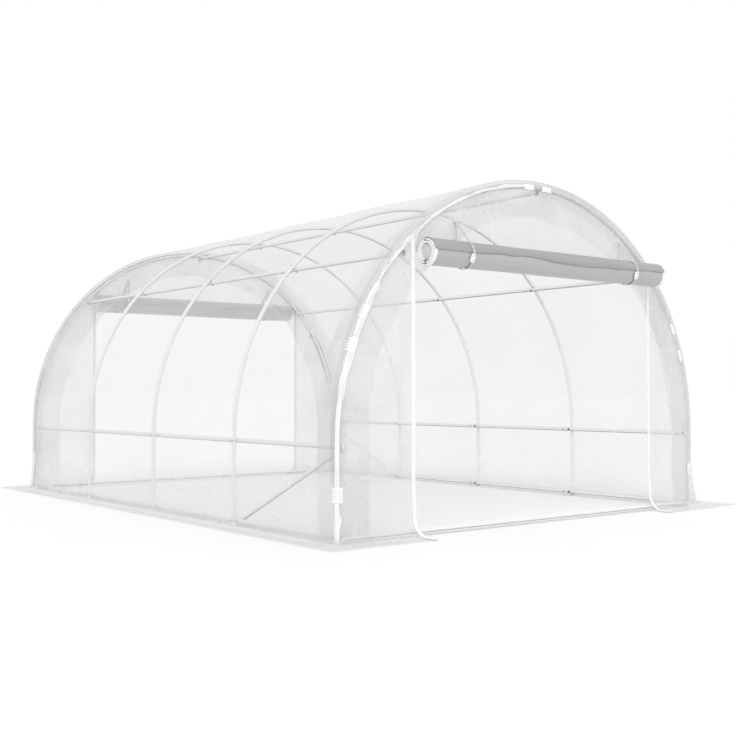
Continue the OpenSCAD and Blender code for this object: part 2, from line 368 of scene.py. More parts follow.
def make(name, points, faces, material, replaces=(), attributes=None):
    """A piece of the object: its mesh, material and the CAD nodes it stands for."""
    mesh = bpy.data.meshes.new(name)
    mesh.from_pydata(np.asarray(points, float).tolist(), [], [tuple(map(int, f)) for f in faces])
    mesh.validate()
    mesh.update()
    mesh.shade_smooth()
    for key, values in (attributes or {}).items():
        layer = mesh.attributes.new(key, "FLOAT", "POINT")
        layer.data.foreach_set("value", np.asarray(values, np.float32).ravel())
    obj = bpy.data.objects.new(name, mesh)
    bpy.context.scene.collection.objects.link(obj)
    mesh.materials.append(material)
    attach(obj, "root")
    if replaces:
        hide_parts(*replaces)
    return obj


def grid_faces(rows, columns, close_columns=False):
    """Quads of a grid of points stored row by row."""
    across = np.arange(columns if close_columns else columns - 1)
    i, j = np.meshgrid(np.arange(rows - 1), across, indexing="ij")
    k, l = i + 1, (j + 1) % columns
    quads = np.stack([i * columns + j, i * columns + l, k * columns + l, k * columns + j], -1)
    return quads.reshape(-1, 4).tolist()


def tube_faces(rings, sides):
    """Faces of a closed solid: rings of points joined side by side, and a cap at both ends."""
    faces = grid_faces(rings, sides, close_columns=True)
    faces.append(tuple(range(sides))[::-1])
    faces.append(tuple((rings - 1) * sides + k for k in range(sides)))
    return faces


def make_sheet(name, grid, material, replaces=(), crumple=1.0, fold=0.0, seam_and_shade=0.0):
    """One continuous sheet from an (n, m, 3) grid of points. The last three arguments say, for each
    point, how creased the film is, how much painted highlight it gets on a fold's line, and how much
    darker it is at a weld, a line or where shade is painted."""
    size = grid.shape[:2]
    looks = {"crumple": crumple, "fold": fold, "seam_and_shade": seam_and_shade}
    looks = {key: np.broadcast_to(value, size) for key, value in looks.items()}
    return make(name, grid.reshape(-1, 3), grid_faces(*size), material, replaces, looks)


def volume(points, faces):
    """Six times the volume of a closed solid, below 0 where its faces look inwards."""
    points = points - points.mean(0)
    triangles = [(f[0], f[k], f[k + 1]) for f in faces for k in range(1, len(f) - 1)]
    first, second, third = np.moveaxis(points[np.array(triangles)], 1, 0)
    return np.einsum("ij,ij->", first, np.cross(second, third))


class Parts:
    """Gathers many small solids into one mesh, their faces turned outwards."""

    def __init__(self):
        self.points, self.faces = [], []

    def add(self, points, faces):
        start = len(self.points)
        points = np.asarray(points, float).reshape(-1, 3)
        self.points.extend(points.tolist())
        step = -1 if volume(points, faces) < 0 else 1
        self.faces.extend([tuple(v + start for v in face[::step]) for face in faces])

    def lathe(self, profile, base, axis, sides=20):
        """Turns (radius, distance along the axis) points round an axis from a base point."""
        axis = np.asarray(axis, float) / np.linalg.norm(axis)
        side = np.cross(axis, [0, 0, 1] if abs(axis[2]) < 0.9 else [1, 0, 0])
        side /= np.linalg.norm(side)
        other = np.cross(axis, side)
        a = np.linspace(0, 2 * math.pi, sides, endpoint=False)
        ring = np.cos(a)[:, None] * side + np.sin(a)[:, None] * other
        rings = [np.asarray(base) + h * axis + r * ring for r, h in profile]
        self.add(np.concatenate(rings), tube_faces(len(rings), sides))

    def sweep(self, sections):
        """Joins closed sections of the same number of points and caps both ends."""
        sections = np.asarray(sections, float)
        self.add(sections, tube_faces(*sections.shape[:2]))

    def build(self, name, material, slot, replaces=()):
        sharpen(make(name, self.points, self.faces, material, replaces))


def sharpen(obj, degrees=35):
    """Shades smoothly apart from edges sharper than an angle."""
    obj.data.shade_smooth()
    obj.data.set_sharp_from_angle(angle=math.radians(degrees))


# ---------------------------- the film cover's shape

FILM_GAP = 0.0146  # from a hoop's centre line to the film that lies on it
SHIFT = 0.030  # how far the loose cover sits over to the right
END_LIFT = 0.025  # how far it stands above the hoops at the ridge
APRON_Z = 0.3  # height where the lower edge of the roof and walls meets the aprons
FLARE_Z = 0.36  # height from which the film stands off more and more towards the ground
SIDE_REACH = {-1: 0.012, 1: 0.062}  # how far it stands off there, left and right
END_REACH = 0.012
FILLET = 0.05  # radius of the bend onto the ground along a side
END_FILLET = 0.11  # and at the ends
SKIRT_Z = 0.0035  # height of the film that lies on the ground
BAND_W = 0.36  # width of the second layer at an end hoop, roof and wall together
HEM_SPAN = {-1: 86, 1: 60}  # how many degrees round the top a hem goes, left and right
HALF_L = (REAR_Y - FRONT_Y) / 2
MID_Y = (REAR_Y + FRONT_Y) / 2


def flare(z, reach):
    """How far the film stands off at a height, for the given reach at the ground."""
    return reach * np.clip(1 - np.asarray(z, float) / FLARE_Z, 0, 1) ** 2


def side_reach(side, y):
    """Reach of the flare at the foot of a side, along the tunnel."""
    wave = noise(np.asarray(y) * 2.3, 0.0, 31 + side)
    return SIDE_REACH[side] + 0.006 * (1 + wave)


def end_reach(end, x):
    """Reach of the flare at the foot of an end wall."""
    return END_REACH + 0.004 * noise(np.asarray(x) * 3.1, 0.0, 41 + end)


def side_offset(side, y, z):
    """Distance of a side's film beyond the legs' centre line below the round top."""
    loose = noise(np.asarray(y) * 1.7, np.asarray(z) * 2.1, 11 + side)
    away = smooth(np.minimum(np.asarray(y) - FRONT_Y, REAR_Y - np.asarray(y)), 0.0, 0.35)
    return (
        FILM_GAP
        + (SHIFT if side > 0 else 0.022 * smooth(y, MID_Y, REAR_Y))
        + (0.004 + 0.005 * loose) * away
        + flare(z, side_reach(side, y))
    )


def end_offset(end, x, z):
    """Distance of an end wall's film outside the end hoop's plane."""
    return FILM_GAP + 0.001 + flare(z, end_reach(end, x))


def hoop_place(side, s):
    """Point and outward normal on a hoop's centre line, s metres up from the ground."""
    a = max(0.0, (s - LEG_H) / ARCH_R)
    normal = np.array([side * math.cos(a), 0.0, math.sin(a)])
    x, z = MID_X + side * ARCH_R * math.cos(a), min(s, LEG_H) + ARCH_R * math.sin(a)
    return np.array([x, 0.0, z]), normal


def hoop_section(lowest, leg_points, arch_points):
    """Places along a hoop from its left foot to its right: (side, Z, angle round the top), side
    being 0 on the round top, and each one's distance along the hoop from the top's left end."""
    legs = np.linspace(lowest, LEG_H, leg_points)[:-1]
    section = [(-1, z, math.pi) for z in legs]
    section += [(0, LEG_H, a) for a in np.linspace(math.pi, 0, arch_points)]
    section += [(1, z, 0.0) for z in legs[::-1]]
    run = [(math.pi - a) * ARCH_R + side * (LEG_H - z) for side, z, a in section]
    return section, np.array(run)


def section_place(side, z, a):
    """Point on a hoop's centre line for a place of its section, and the outward normal there."""
    normal = np.array([side, 0.0, 0.0] if side else [math.cos(a), 0.0, math.sin(a)])
    return np.array([MID_X + ARCH_R * normal[0], 0.0, z + ARCH_R * normal[2]]), normal


def cover_rows(count_along):
    """Rows of the roof along the tunnel: (Y, angle round the end hoop's tube, end) for each."""
    turn = np.linspace(math.pi / 2, 0, 14)[:-1]
    near = np.r_[np.linspace(0, 0.05, 11), np.linspace(0.065, 0.30, 13)]
    far = np.linspace(0.30, 2 * HALF_L - 0.30, count_along)[1:-1]
    rows = [(FRONT_Y, a, -1) for a in turn]
    rows += [(FRONT_Y + d, 0, 0) for d in np.concatenate([near, far, 2 * HALF_L - near[::-1]])]
    return rows + [(REAR_Y, a, 1) for a in turn[::-1]]


def roof_lift(angle, y):
    """How far the loose film floats above the hoops, by the angle round the top."""
    span = (y - FRONT_Y) / (2 * HALF_L)
    body = np.clip(1 - np.abs(2 * span - 1) ** 3.5, 0, 1)
    high = np.clip(np.sin(angle), 0, 1) ** 1.4
    bays = 0.5 - 0.5 * np.cos(2 * math.pi * span * 4)
    sag = 0.005 * bays * (0.3 + 0.7 * high) * np.minimum(1, body * 3)
    return END_LIFT * high + body * (-0.006 * high + 0.003) - sag


def build_roof():
    """The roof and both sides in one sheet, turned round the end hoops' tubes."""
    section, run = hoop_section(APRON_Z, 12, 250)
    ys, turns, ends = np.array(cover_rows(190), float).T
    S, Y = np.meshgrid(run, ys)
    from_end = np.minimum(Y - FRONT_Y, REAR_Y - Y)
    near_end = np.exp(-from_end / 0.22)
    wave = noise(S * 1.3, Y * 1.1, 3) * 0.004 + noise(S * 3.1, Y * 2.3, 4) * 0.0012
    sharp, line = folds(S, Y, 200, 5, length=0.15, width=0.022)
    lift = wave * 0.9 + sharp * (0.0006 + 0.0034 * near_end)
    lift = np.maximum(lift * (0.2 + 0.8 * smooth(from_end, 0.0, 0.12)), -0.001)
    grid = np.zeros((len(ys), len(section), 3))
    for j, (side, z, a) in enumerate(section):
        base, normal = section_place(side, z, a)
        if side:
            off = side_offset(side, ys, z) + lift[:, j]
            length_off = end_offset(-1, base[0], z)
        else:
            edge = side_offset(1 if normal[0] > 0 else -1, ys, LEG_H) - FILM_GAP
            off = FILM_GAP + edge * abs(normal[0]) ** 1.5 + roof_lift(a, ys)
            off = np.where(ends == 0, off + lift[:, j], off)
            length_off = FILM_GAP + 0.001
        grid[:, j] = base + np.cos(turns)[:, None] * off[:, None] * normal
        grid[:, j, 1] = ys + ends * np.sin(turns) * length_off
    # Darker lines where the film turns round the end hoops, and darker welds near the ends
    turn_lines = np.where(ends != 0, stripe(turns, 1.15, 0.08) + stripe(turns, 0.55, 0.08), 0.0)
    weld = stripe(from_end, 0.016, 0.0035) + 0.8 * stripe(from_end, 0.036, 0.0035)
    return make_sheet(
        "roof_film", grid, FILM, ["roof_cover", "side_cover_left", "side_cover_right"],
        0.12 + 0.88 * near_end, line * (0.02 + 0.35 * near_end),
        seam_and_shade=np.maximum(weld, turn_lines[:, None]),
    )


def wall_push(x, z, seed, count, amount, length=0.17):
    """Creased displacement of an end wall and where its fold lines are."""
    sharp, line = folds(x, z, count, seed, length=length, width=0.024)
    soft = noise(x * 3.0, z * 3.0, seed + 1) * 0.5 + noise(x * 8.0, z * 7.0, seed + 2) * 0.25
    hoop = ARCH_R - np.hypot(x - MID_X, np.maximum(z - LEG_H, 0))
    free = smooth(hoop, 0.0, 0.09)
    return np.clip((sharp + soft) * amount, -0.008, 0.003) * free, line


def end_point(end, x, z, push):
    """A point of an end wall, pushed outwards."""
    y = END_Y[end] + end * (end_offset(end, x, z) + push)
    return np.stack(np.broadcast_arrays(x, y, z), -1)


def build_end_side(end, side):
    """Film beside a doorway, from its zip tape to the hoop, above the apron."""
    door = DOOR_X[side]
    reach = abs(door - MID_X)
    top = LEG_H + math.sqrt(ARCH_R**2 - reach**2)
    z = APRON_Z + (top - APRON_Z - 0.004) * np.linspace(0, 1, 160)
    width = np.sqrt(np.maximum(ARCH_R**2 - np.maximum(z - LEG_H, 0) ** 2, 0))
    t = np.linspace(0, 1, 60)
    X = MID_X + side * (reach + (width - reach)[:, None] * t)
    Z = np.repeat(z[:, None], len(t), 1)
    seed = 60 + 7 * (end + 1) + 3 * (side + 1)
    push, line = wall_push(X, Z, seed, 26, 0.005)
    push = push * smooth(t, 0.0, 0.2)
    return make_sheet(
        f"{END_NAME[end]}_film_{SIDE_NAME[side]}", end_point(end, X, Z, push), FILM_END,
        [f"{END_NAME[end]}_wall_{SIDE_NAME[side]}"], 0.8, line * 0.55,
    )


def build_end_top(end):
    """Film above a doorway, up to the hoop."""
    x = np.linspace(DOOR_X[-1], DOOR_X[1], 280)
    top = LEG_H + np.sqrt(ARCH_R**2 - (x - MID_X) ** 2)
    t = np.linspace(0, 1, 84)
    Z = DOOR_TOP + (top - DOOR_TOP)[None] * t[:, None]
    X = np.repeat(x[None], len(t), 0)
    push, line = wall_push(X, Z, 90 + end, 24, 0.0075, 0.26)
    push = push * smooth(Z, DOOR_TOP, DOOR_TOP + 0.16) - 0.002 * (1 - t[:, None])
    return make_sheet(
        f"{END_NAME[end]}_film_top", end_point(end, X, Z, push), FILM_END,
        [f"{END_NAME[end]}_wall_top"], 0.75, line * 0.95,
    )


def build_apron(side):
    """The foot of the cover on one side: a U from doorway to doorway that flares and lies out flat."""
    path = []
    for end in (-1, 1):
        door = DOOR_X[side]
        leg = MID_X + side * ARCH_R
        straight = [("end", end, x) for x in np.linspace(door, leg, 22)]
        corner = [("corner", end, a) for a in np.linspace(90, 0, 15)[1:-1]]
        run = straight + corner
        path += run if end < 0 else run[::-1]
        if end < 0:
            path += [("side", 0, y) for y in np.linspace(FRONT_Y, REAR_Y, 190)]
    wall_rows = 15
    bend = np.linspace(180, 270, 8)[1:]
    out = np.linspace(0, 1, 11)[1:]
    rows = wall_rows + len(bend) + len(out)
    grid = np.zeros((rows, len(path), 3))
    for j, (kind, end, value) in enumerate(path):
        turned = smooth(abs(value - leg), 0.08, 0.4) if kind == "end" else 0.0
        fillet = FILLET + (END_FILLET - FILLET) * turned
        wall = np.linspace(APRON_Z, fillet, wall_rows)
        if kind == "end":
            off = [end_offset(end, value, z) for z in wall]
            base, direction = np.array([value, END_Y[end]]), np.array([0.0, end])
            width = abs(SKIRT_Y[end] - END_Y[end])
            scale = np.array([0.0, end])
        elif kind == "side":
            off = [side_offset(side, value, z) for z in wall]
            base, direction = np.array([MID_X + side * ARCH_R, value]), np.array([side, 0.0])
            width = abs(SKIRT_X[side] - base[0])
            scale = direction
        else:
            a = math.radians(value)
            base = np.array([MID_X + side * ARCH_R, END_Y[end]])
            direction = np.array([side * math.cos(a), end * math.sin(a)])
            wide, deep = abs(SKIRT_X[side] - base[0]), abs(SKIRT_Y[end] - base[1])
            width = min(wide / max(math.cos(a), 1e-6), deep / max(math.sin(a), 1e-6))
            off, scale = None, None
        for i, z in enumerate(wall):
            if kind == "corner":
                ox = side_offset(side, END_Y[end], z)
                oy = end_offset(end, base[0], z)
                at = base + np.array([side * math.cos(a) * ox, end * math.sin(a) * oy])
            else:
                at = base + scale * off[i]
            grid[i, j] = [*at, z]
        foot = np.array(at)
        gone = np.linalg.norm(foot - base)
        for i, b in enumerate(bend):
            b = math.radians(b)
            at = foot + direction * fillet * (1 + math.cos(b))
            grid[wall_rows + i, j] = [*at, fillet + (fillet - SKIRT_Z) * math.sin(b)]
        start = foot + direction * fillet
        left_over = width - gone - fillet
        for i, t in enumerate(out):
            at = start + direction * left_over * t
            ripple = 0.5 + 0.5 * noise(at[0] * 9.0, at[1] * 9.0, 70 + side)
            grid[wall_rows + len(bend) + i, j] = [*at, SKIRT_Z - 0.001 + 0.006 * ripple * t]
    S = np.cumsum(np.r_[0, np.linalg.norm(np.diff(grid[0, :, :2], axis=0), axis=1)])
    run_x, run_y = np.meshgrid(S, np.linspace(0, 0.6, rows))
    sharp, line = folds(run_x, run_y, 60, 75 + side, length=0.09, width=0.016)
    laid = wall_rows + len(bend)
    grid[laid:, :, 2] += np.maximum(sharp[laid:], 0) * 0.004
    name = SIDE_NAME[side]
    names = [f"skirt_{name}_side", f"skirt_front_{name}", f"skirt_rear_{name}"]
    return make_sheet(f"{name}_skirt_film", grid, FILM_SKIRT, names, 0.8, line * 0.3)


def build_band(end):
    """The second layer of film round an end hoop: over the roof's edge and down the wall."""
    section, run = hoop_section(0.03, 20, 220)
    roof_edge = 0.155 + 0.022 * noise(run * 1.9, 0.0, 110 + end)
    wall_edge = 0.185 + 0.014 * noise(run * 2.3, 0.0, 120 + end)
    wall_edge = wall_edge + 0.006 * noise(run * 9.0, 0.0, 121 + end)
    roof = np.linspace(1, 0, 14)
    turn = np.linspace(0, math.pi / 2, 7)[1:-1]
    wall = np.r_[np.linspace(0, 0.24, 13), np.linspace(0.24, 1, 13)[1:]]
    first_wall = len(roof) + len(turn)
    rows = first_wall + len(wall)
    S, T = np.meshgrid(run, np.linspace(0, BAND_W, rows))
    sharp, line = folds(S, T, 80, 130 + end, length=0.11, width=0.016)
    crease = 0.0035 * sharp + 0.0025 * noise(S * 7.0, T * 9.0, 133 + end)
    tight = 0.0135
    inside = np.array([0.0, -end, 0.0])
    grid = np.zeros((rows, len(section), 3))
    for j, place in enumerate(section):
        base, normal = section_place(*place)
        base[1] = END_Y[end]
        loose = SHIFT * 0.75 * max(normal[0], 0) ** 1.5
        for i, t in enumerate(roof):
            grid[i, j] = base + normal * (tight + loose * t * t) + inside * roof_edge[j] * t
        for i, b in enumerate(turn, len(roof)):
            grid[i, j] = base + tight * (normal * math.cos(b) - inside * math.sin(b))
        for i, t in enumerate(wall, first_wall):
            free = smooth(t, 0.05, 0.4)
            out = tight - 0.004 * free + crease[i, j] * free
            grid[i, j] = base - normal * wall_edge[j] * t - inside * out
    # Painted highlight along the band's free edge
    edge = np.zeros_like(line)
    edge[-2:] = 0.5 + 0.5 * noise(S[-2:] * 4.0, 0.0, 137 + end)
    # Darker lines along the band's wall part, below its turn
    seam_and_shade = np.zeros_like(line)
    for row, depth in ((2, 0.9), (5, 0.55), (9, 0.4)):
        seam_and_shade[first_wall + row] = depth
    name = f"{END_NAME[end]}_edge_band"
    return make_sheet(name, grid, FILM_BAND, (), 1.0, np.maximum(line * 0.4, edge), seam_and_shade=seam_and_shade)


def build_hem(end, side, from_angle):
    """The gathered hem along one side of an end hoop, from the ground to an angle on the top."""
    foot = np.linspace(0.012, LEG_H, 60)[:-1]
    top = np.linspace(0, math.radians(from_angle), 150)
    run = np.r_[foot, LEG_H + top * ARCH_R]
    t = np.linspace(-1, 1, 17)
    seed = 150 + 5 * end + side
    S, T = np.meshgrid(run, t * 0.04)
    sharp, line = folds(S, T, 150, seed, length=0.05, width=0.007, turn=0.25, spread=0.35)
    # Wider and more ragged where it is gathered, and above, with knots at a few places
    gather = smooth(run, 0.68, 0.92) * (1 - smooth(run, 1.28, 1.42))
    ragged = 0.2 + 0.8 * gather
    above = smooth(run, 1.46, 1.62)
    roof_rag = 0.006 * noise(run * 9.0, 0.0, seed + 1) + 0.004 * noise(run * 27.0, 0.0, seed + 2)
    wall_rag = 0.007 * noise(run * 8.0, 0.0, seed + 3) + 0.005 * noise(run * 25.0, 0.0, seed + 4)
    roof_half = 0.014 + 0.015 * gather + 0.006 * above + ragged * roof_rag
    wall_half = 0.014 + 0.017 * gather + 0.007 * above + ragged * wall_rag
    knot = LEG_H + ARCH_R * math.acos(abs(DOOR_X[side] - MID_X) / ARCH_R)
    wall_half += 0.012 * stripe(run, 0.12, 0.03) + 0.028 * stripe(run, knot, 0.04)
    roof_half += 0.010 * stripe(run, knot, 0.05)
    wall_half += 0.02 * stripe(run, 1.36, 0.025)
    outward = np.array([0.0, end, 0.0])
    grid = np.zeros((len(t), len(run), 3))
    for j, s in enumerate(run):
        base, normal = hoop_place(side, s)
        base[1] = END_Y[end]
        reach = 0.0168 + float(flare(s, 0.013))
        quarter = reach * math.pi / 4
        for i, v in enumerate(t):
            # Lies on the tube's outer front quarter and runs on flat at both sides
            way = v * (roof_half[j] if v < 0 else wall_half[j])
            if way < -quarter:
                at = normal * reach - outward * (-way - quarter)
            elif way > quarter:
                at = outward * reach - normal * (way - quarter)
            else:
                b = math.pi / 4 + way / reach
                at = normal * reach * math.cos(b) + outward * reach * math.sin(b)
            lift = (normal + outward) / math.sqrt(2) * (0.003 * sharp[i, j] + 0.002)
            grid[i, j] = base + at + lift
    # Painted shade in the hollows of the hem's folds, and painted highlights along their lines
    seam_and_shade = np.clip(-sharp, 0, 1) * 0.5
    name = f"{END_NAME[end]}_hem_{SIDE_NAME[side]}"
    return make_sheet(name, grid, FILM_HEM, (), 1.0, line * 0.8, seam_and_shade=seam_and_shade), run[-1]


# ---------------------------- the film's pieces

roof = build_roof()

for end in (-1, 1):
    for side in (-1, 1):
        panel = build_end_side(end, side)
    panel = build_end_top(end)
    band = build_band(end)
    # The right front hoop has no hem
    for side in (-1,) if end < 0 else (-1, 1):
        hem, length = build_hem(end, side, HEM_SPAN[side])

for side in (-1, 1):
    apron = build_apron(side)
    length = 2 * HALF_L + 2 * (ARCH_R - abs(DOOR_X[side] - MID_X)) + 0.6

# ---------------------------- zip tapes

TAPE_W = (box("zip_tape_front_left")[1] - box("zip_tape_front_left")[0])[0]


def tape_path(end, side):
    """Down the doorway's edge and out over the skirt: (Y, Z) points and their outward normals."""
    door = DOOR_X[side]
    top = box(f"zip_tape_{END_NAME[end]}_{SIDE_NAME[side]}")[1][2]
    points = [(end_offset(end, door, z), z) for z in np.linspace(top, END_FILLET, 90)]
    foot = points[-1][0]
    for b in np.radians(np.linspace(180, 270, 10)[1:]):
        height = END_FILLET + (END_FILLET - SKIRT_Z) * math.sin(b)
        points.append((foot + END_FILLET * (1 + math.cos(b)), height))
    last = abs(SKIRT_Y[end] - END_Y[end])
    points += [(d, SKIRT_Z) for d in np.linspace(foot + END_FILLET, last, 8)[1:]]
    path = np.array(points)
    run = np.gradient(path, axis=0)
    run /= np.linalg.norm(run, axis=1)[:, None]
    normal = np.stack([-run[:, 1], run[:, 0]], -1)
    return path, normal


def build_tape(end, side):
    """A tape with a rolled edge along the doorway, and the zip's teeth beside it."""
    path, normal = tape_path(end, side)
    door = DOOR_X[side]
    name = f"{END_NAME[end]}_{SIDE_NAME[side]}"
    half = 0.62 * TAPE_W
    off, up = 0.002, 0.0015  # how far it stands off the film
    # Across the tape from its outer edge to the doorway: (share of half, thickness)
    across = [(-1, 0.0006), (-0.9, 0.0013), (0.35, 0.0013), (0.45, 0.0026), (0.85, 0.0028), (1, 0.0012)]
    outline = across + [(w, -0.0006) for w, _ in across[::-1]]
    sections = []
    for k, ((d, z), (ny, nz)) in enumerate(zip(path, normal)):
        x = door + 0.0012 * math.sin(k * 0.31) * smooth(k, 6, 20)
        y = END_Y[end] + end * (d + off)
        sections.append([(x - side * w * half, y + end * h * ny, z + up + h * nz) for w, h in outline])
    tape = Parts()
    tape.sweep(sections)
    tape.build(f"tape_{name}", TAPE, "zip_tape", [f"zip_tape_{name}"])
    teeth = Parts()
    run = np.cumsum(np.r_[0, np.linalg.norm(np.diff(path, axis=0), axis=1)])
    for s in np.arange(0.03, run[-1] - 0.02, 0.0075):
        d, z = (np.interp(s, run, path[:, k]) for k in (0, 1))
        ny, nz = (np.interp(s, run, normal[:, k]) for k in (0, 1))
        at = (
            door - side * (half + 0.0012),
            END_Y[end] + end * (d + off + 0.001 * ny),
            z + up + 0.001 * nz,
        )
        teeth.lathe([(0.0014, -0.0018), (0.002, 0.0), (0.0014, 0.0018)], at, (1, 0, 0), 6)
    teeth.build(f"teeth_{name}", PLASTIC, "zip_tape")


for end in (-1, 1):
    for side in (-1, 1):
        build_tape(end, side)

# ---------------------------- rolled-up doors


ROLL_TURNS = 4.3
RING_TURNS = 2.2
RING_W = 0.022
ROLL_HOLE = 0.6  # a roll's inner radius, as a share of its outer one


def spiral(turns, inner, outer, count):
    """Angles and radii of a spiral from its outer end, which hangs down the wall, inwards."""
    t = np.linspace(0, 1, count)
    return 2 * math.pi * turns * t, outer - (outer - inner) * t


def roll_axis(end):
    """A roll's axis, as Y and Z, its radius, and where it starts and ends along X."""
    low, high = box(f"door_roll_{END_NAME[end]}")
    return (low[1] + high[1]) / 2, (low[2] + high[2]) / 2, (high[2] - low[2]) / 2, (low[0], high[0])


def build_roll(end):
    """A rolled-up door: its film, the loose last turn, and the rings of tape at its ends."""
    name = END_NAME[end]
    y, z, outer, ends = roll_axis(end)
    inner = ROLL_HOLE * outer
    x = np.linspace(ends[0] + 0.004, ends[1] - 0.004, 130)
    angle, radius = spiral(ROLL_TURNS, inner, outer - 0.003, 260)
    X, A = np.meshgrid(x, angle)
    dent = noise(X * 3.0, A * 0.8, 200 + end) * 0.0012 + noise(X * 11.0, A * 1.7, 201 + end) * 0.0005
    R = radius[:, None] + dent
    # The film comes down the wall behind the roll and goes under it
    grid = np.stack([X, y - end * R * np.cos(A), z - R * np.sin(A)], -1)
    sheet = make_sheet(f"{name}_door_film", grid, ROLL, [f"door_roll_{name}"])
    # The loose last turn over the top, whose edge waves along the roll's front
    start = 2 * math.pi - math.radians(8)
    edge = math.radians(186)
    edge = edge + 0.22 * noise(x * 2.6, 0.0, 210 + end) + 0.07 * noise(x * 9.0, 0.0, 211 + end)
    t = np.linspace(0, 1, 30)
    A = start - t[:, None] * (start - edge[None])
    X = np.repeat(x[None], len(t), 0)
    R = outer - 0.0012 + 0.0008 * noise(X * 6.0, A * 2.0, 212 + end)
    grid = np.stack([X, y - end * R * np.cos(A), z - R * np.sin(A)], -1)
    flap = make_sheet(f"{name}_door_flap", grid, ROLL_FLAP)
    rings, cores, studs = Parts(), Parts(), Parts()
    angle, radius = spiral(RING_TURNS, inner, outer - 0.001, 160)
    thick = (outer - inner) / RING_TURNS * 0.33
    # The innermost film, bunched a little way inside each end: (share of inner, depth)
    bunch = [(0.8, -0.009), (0.5, -0.011), (0.2, -0.010)]
    core = [(inner - 0.001, -0.03), (inner - 0.001, -0.012)] + [(inner * r, d) for r, d in bunch]
    for side, edge_x in zip((-1, 1), ends):
        # White edge tape wound into a ring
        sections = []
        for a, r in zip(angle, radius):
            r0, r1 = r - thick, r + thick * (1 if r + thick < outer else 0)
            back = edge_x - side * RING_W
            ring = [(edge_x, r0), (edge_x, r1), (back, r1), (back, r0)]
            sections.append([(px, y - end * pr * math.cos(a), z - pr * math.sin(a)) for px, pr in ring])
        rings.sweep(sections)
        cores.lathe(core, (edge_x, y, z), (side, 0, 0), 40)
        # A rivet at the ring's top and foot
        for up in (-1, 1):
            at = (edge_x, y, z + up * (inner + outer) / 2)
            studs.lathe([(0.0058, -0.001), (0.0058, 0.0012), (0.003, 0.0022)], at, (side, 0, 0), 16)
    rings.build(f"{name}_roll_rings", TAPE, "zip_tape")
    cores.build(f"{name}_roll_cores", ROLL_CORE, "rolled_film")
    studs.build(f"{name}_roll_studs", STEEL, "buckle_plastic")


for end in (-1, 1):
    build_roll(end)

# ---------------------------- roll straps and buckles


STRAP_W = 0.02
STRAP_UNDER = 13  # sections down the wall before the loop starts
BUCKLE_SIZE = (0.0155, 0.0245)  # half its width and half its height
BUCKLE_TILT = 0.12
BUCKLE_DOWN = math.radians(17)  # how far below the roll's middle it sits
BUCKLE_ASIDE = 0.012
BUCKLE_SHAPE = ((0.0, 1.0), (0.0049, 1.0), (0.007, 0.9))  # (thickness, share of its size)
RIVET_UP = 0.0145
RIVET = [(0.0032, 0), (0.0032, 0.0008), (0.0022, 0.0014)]


def build_straps(end):
    """Webbing loops that hold up a rolled door, with their buckles."""
    name = END_NAME[end]
    low, high = box(f"roll_straps_{name}")
    y, z, radius, _ = roll_axis(end)
    radius += 0.0006
    rise = high[2] - z
    leave = math.atan2(rise, radius) + math.acos(radius / math.hypot(radius, rise))
    # Side view, 0 degrees towards the wall: down the wall, round the roll and back up in front
    loop = [(radius - 0.0035, h) for h in np.linspace(rise, 0.012, 14)[:-1]]
    around = np.linspace(0, leave - 2 * math.pi, 46)
    loop += [(radius * math.cos(a), radius * math.sin(a)) for a in around]
    start, top = np.array(loop[-1]), np.array([radius, rise - 0.006])
    loop += [tuple(start + (top - start) * t) for t in np.linspace(0, 1, 18)[1:]]
    run = np.gradient(np.array(loop), axis=0)
    run /= np.linalg.norm(run, axis=1)[:, None]
    normal = np.stack([run[:, 1], -run[:, 0]], -1)
    angles = [2 * math.pi * k / 28 for k in range(28)]
    plate = [
        [half * np.sign(c) * abs(c) ** 0.45 for half, c in zip(BUCKLE_SIZE, (math.cos(a), math.sin(a)))]
        for a in angles
    ]
    # Out of the buckle's face and up along it, as Y and Z
    out_of, along = np.array([[math.cos(BUCKLE_DOWN), -math.sin(BUCKLE_DOWN)],
                              [math.sin(BUCKLE_DOWN), math.cos(BUCKLE_DOWN)]])
    straps, loops, buckles, rivets = Parts(), Parts(), Parts(), Parts()
    for side in (-1, 1):
        x = low[0] + STRAP_W / 2 if side < 0 else high[0] - STRAP_W / 2
        sections = []
        for k, ((d, h), n) in enumerate(zip(loop, normal)):
            lean = 0.006 * side * smooth(k, len(loop) - 20, len(loop))
            sections.append([
                (x + lean + w * STRAP_W / 2, y - end * (d + n[0] * t), z + h + n[1] * t)
                for w, t in ((-1, -0.0007), (-0.8, 0.0005), (0.8, 0.0005), (1, -0.0007))
            ])
        straps.sweep(sections[:STRAP_UNDER])
        loops.sweep(sections[STRAP_UNDER - 1:-22])
        loops.sweep(sections[-23:])

        def buckle_point(u, v, out):
            """A point of the buckle's face, tilted with the strap, at a distance from the roll."""
            across = u * math.cos(BUCKLE_TILT * side) - v * math.sin(BUCKLE_TILT * side)
            up = u * math.sin(BUCKLE_TILT * side) + v * math.cos(BUCKLE_TILT * side)
            dy, dz = (radius + 0.0015 + out) * out_of + up * along
            return (x - BUCKLE_ASIDE + across, y + end * dy, z + dz)

        buckles.sweep([
            [buckle_point(u * share, v * share, out) for u, v in plate] for out, share in BUCKLE_SHAPE
        ])
        for up in (-RIVET_UP, RIVET_UP):
            rivets.lathe(RIVET, buckle_point(0, up, 0.0065), (0, end * out_of[0], out_of[1]), 14)
    straps.build(f"{name}_straps", STRAP, "strap_webbing", [f"roll_straps_{name}"])
    loops.build(f"{name}_strap_loops", STRAP_SHADED, "strap_webbing")
    buckles.build(f"{name}_buckles", PLASTIC, "buckle_plastic", [f"strap_buckles_{name}"])
    rivets.build(f"{name}_buckle_rivets", STEEL, "buckle_plastic")


for end in (-1, 1):
    build_straps(end)

# ---------------------------- clips

